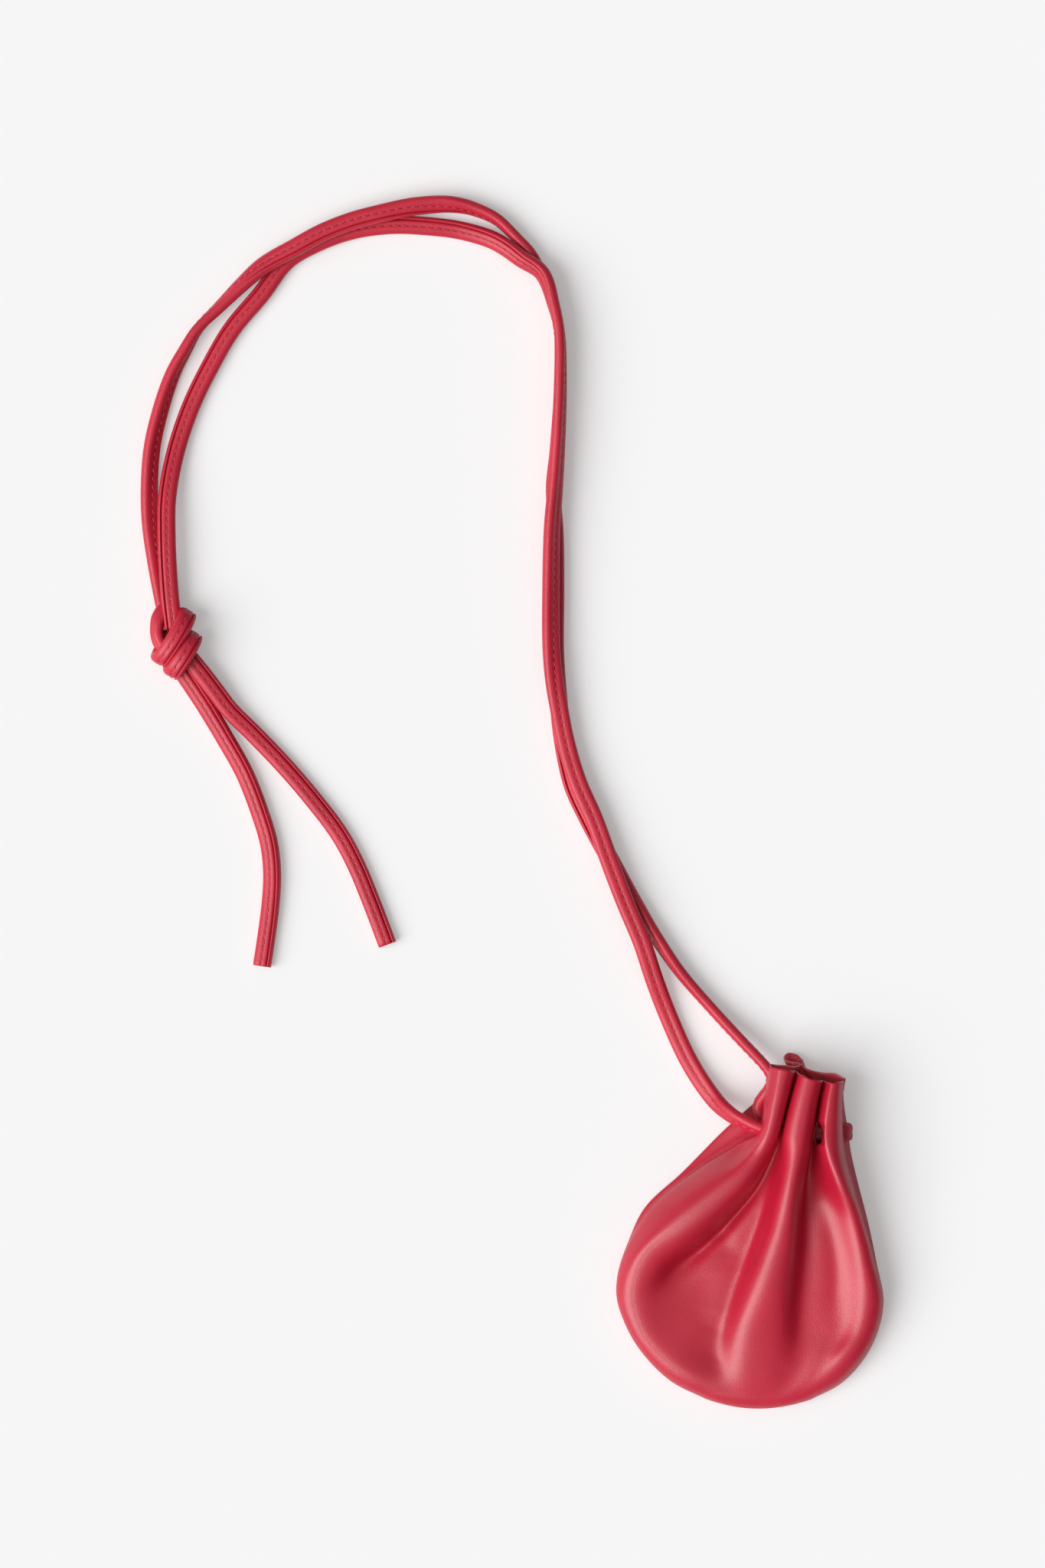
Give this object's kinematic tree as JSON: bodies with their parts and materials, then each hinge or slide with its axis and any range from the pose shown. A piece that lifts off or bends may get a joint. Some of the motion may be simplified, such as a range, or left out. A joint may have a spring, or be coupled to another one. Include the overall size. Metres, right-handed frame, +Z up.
{
  "type": "leather drawstring pouch",
  "caption": "Small gathered leather pouch lying on its back, with fluted open neck and a long flat drawcord laced through it, knotted near its ends.",
  "frame": {"origin": "on the floor under the middle of the pouch's outline, with the drawcord left out", "axes": "+Z up from the floor to the pouch's front, +Y from the pouch's bottom lip towards its mouth, +X to the right when its front is seen from above"},
  "size_m": [0.3238, 0.5281, 0.028],
  "materials": {
    "pouch_leather": "soft satin",
    "cord_leather": "soft satin"
  },
  "bodies": {
    "root": {"pouch_body": "pouch_leather", "strap_lacing": "cord_leather", "strap_front_run": "cord_leather", "strap_back_run": "cord_leather", "strap_knot": "cord_leather", "strap_tail_left": "cord_leather", "strap_tail_right": "cord_leather"}
  },
  "joints": []
}
